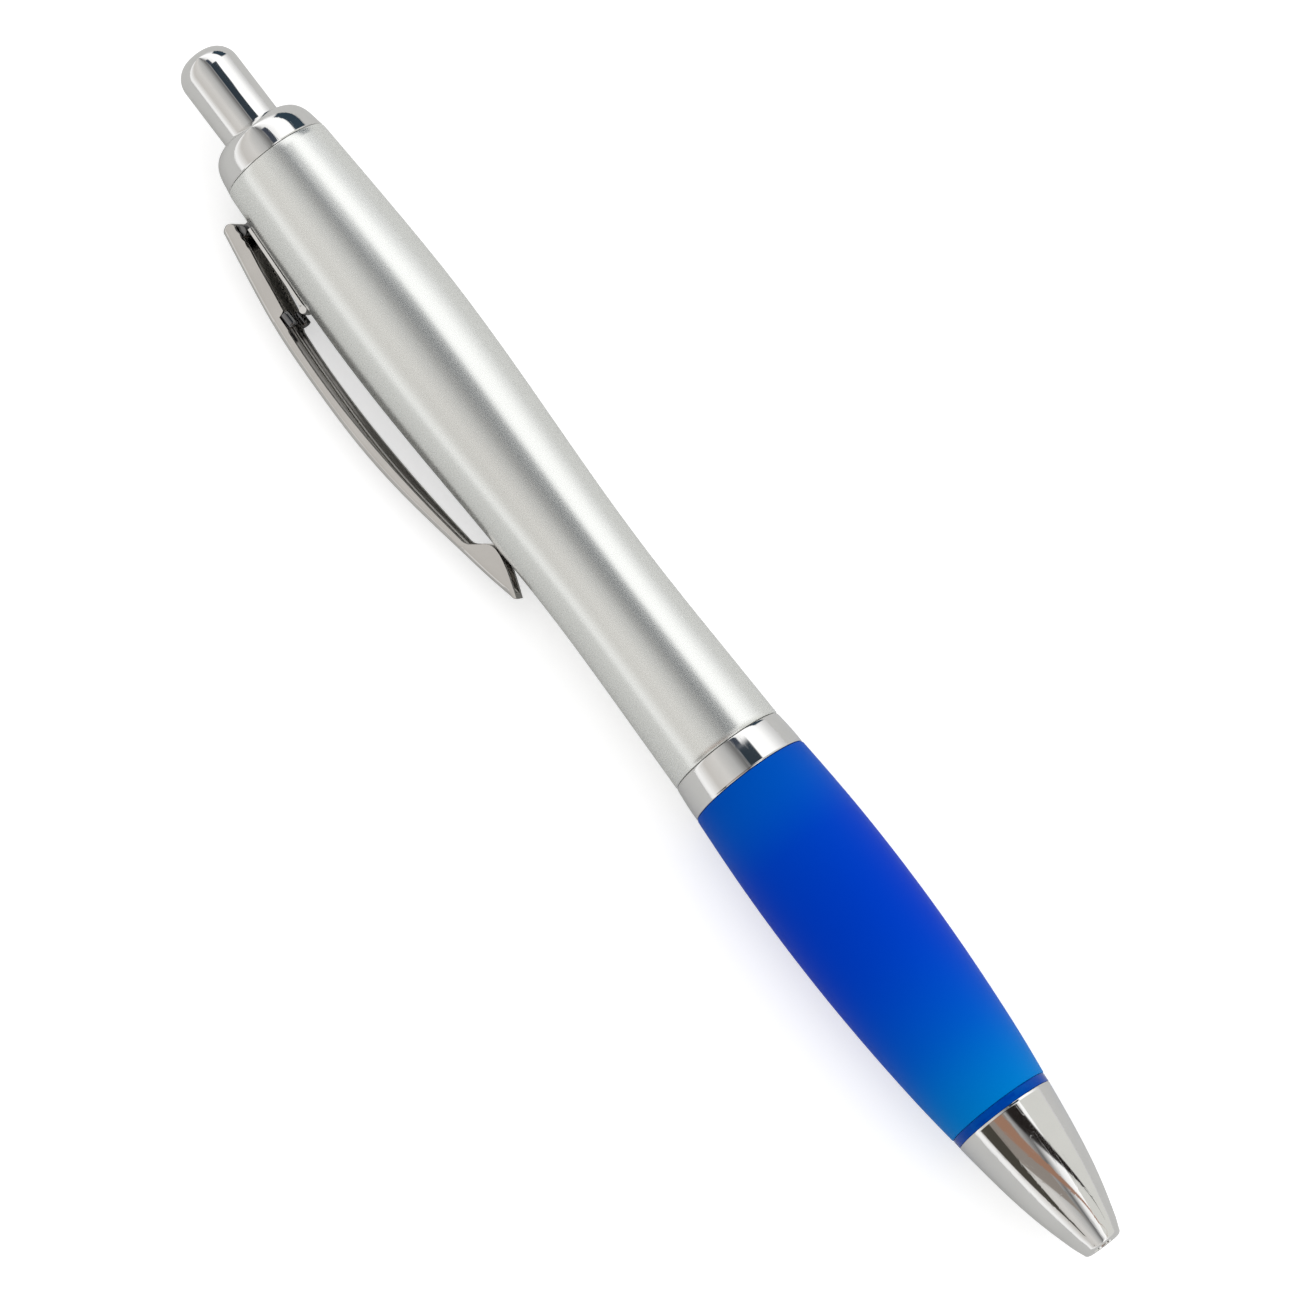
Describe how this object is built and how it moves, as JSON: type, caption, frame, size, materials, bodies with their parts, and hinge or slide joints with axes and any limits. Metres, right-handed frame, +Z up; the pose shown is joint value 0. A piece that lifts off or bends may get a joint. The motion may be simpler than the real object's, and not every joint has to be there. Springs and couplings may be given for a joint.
{
  "type": "retractable ballpoint pen",
  "caption": "Push-button retractable pen with satin silver barrel, mirror trim, long spring clip and frosted blue front section, lying with its clip down.",
  "frame": {"origin": "on the table under the middle of the pen, at the bottom centre of its bounding box", "axes": "+X along the pen from the push button to the point, +Z up from the table; the clip points down towards -Y"},
  "size_m": [0.14, 0.0163, 0.0133],
  "materials": {
    "mirror_chrome": "mirror plated",
    "satin_silver": "satin metallic lacquer",
    "frosted_blue": "frosted translucent",
    "clear_blue": "clear tinted",
    "spring_steel": "drawn wire",
    "white_plastic": "moulded",
    "black_plastic": "moulded",
    "natural_plastic": "translucent",
    "blue_ink": "paste",
    "tip_brass": "turned",
    "tip_steel": "turned"
  },
  "bodies": {
    "upper_body": {"barrel": "satin_silver", "top_collar": "mirror_chrome", "clip_foot": "mirror_chrome", "cam_guide": "white_plastic"},
    "clip": {"clip_arm": "mirror_chrome"},
    "button": {"push_button": "mirror_chrome", "plunger": "black_plastic"},
    "refill": {"refill_tube": "natural_plastic", "end_plug": "white_plastic", "ink_column": "blue_ink", "tip_socket": "tip_brass", "writing_tip": "tip_steel", "ball": "tip_steel"},
    "rotor": {"cam_rotor": "white_plastic"},
    "ring": {"centre_ring": "mirror_chrome"},
    "front_section": {"front_core": "clear_blue", "grip_sleeve": "frosted_blue", "nose_cone": "mirror_chrome", "spring": "spring_steel"}
  },
  "joints": [
    {"name": "clip_flex", "type": "hinge", "parent": "upper_body", "child": "clip", "pos_m": [-0.0541, -0.00423, 0.00346], "axis": [0, 0.4869, -0.8734], "range_deg": [0, 4], "stiffness_Nm_per_rad": 4, "springref_deg": -0.57},
    {"name": "button_press", "type": "slide", "parent": "upper_body", "child": "button", "axis": [1, 0, 0], "range_m": [0, 0.007], "stiffness_N_per_m": 400, "springref_m": -0.0025},
    {"name": "refill_advance", "type": "slide", "parent": "upper_body", "child": "refill", "axis": [1, 0, 0], "range_m": [0, 0.007], "deforming": ["spring"]},
    {"name": "rotor_turn", "type": "hinge", "parent": "refill", "child": "rotor", "pos_m": [-0.043, 0.00149, 0.00665], "axis": [1, 0, 0], "range_deg": [0, 22.5]},
    {"name": "front_advance", "type": "slide", "parent": "upper_body", "child": "ring", "axis": [1, 0, 0], "range_m": [0, 0.005]},
    {"name": "front_turn", "type": "hinge", "parent": "ring", "child": "front_section", "pos_m": [0.03, 0.00149, 0.00665], "axis": [1, 0, 0], "range_deg": [0, 1800]}
  ],
  "couplings": [
    {"joint": "refill_advance", "follows": "button_press", "ratio": 1},
    {"joint": "rotor_turn", "follows": "button_press", "rad_per_m": 56.1},
    {"joint": "front_advance", "follows": "front_turn", "m_per_rad": 0.00015915}
  ]
}
